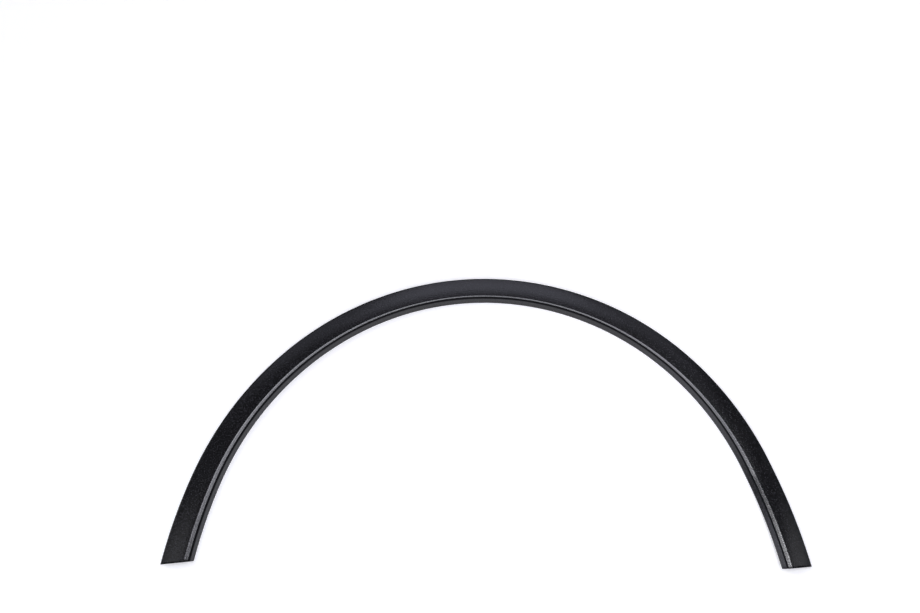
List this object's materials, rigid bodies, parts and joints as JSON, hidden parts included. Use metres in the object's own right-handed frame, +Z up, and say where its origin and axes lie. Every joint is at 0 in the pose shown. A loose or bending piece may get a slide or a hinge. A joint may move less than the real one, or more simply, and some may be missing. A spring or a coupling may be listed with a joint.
{
  "type": "wheel arch trim",
  "caption": "Arched plastic trim strip for a wheel opening: a wide grained face, a bevelled crest, a narrow groove and an inner lip, hollow underneath.",
  "frame": {"origin": "middle of the trim's footprint, on the surface it lies on, face up", "axes": "+X along the arch's span to the right leg, +Y from the open side to the crown, +Z up out of the face"},
  "size_m": [0.7772, 0.4054, 0.0102],
  "materials": {
    "arch_trim": "finely grained satin black"
  },
  "bodies": {
    "root": {"arch_trim": "arch_trim"}
  },
  "joints": []
}
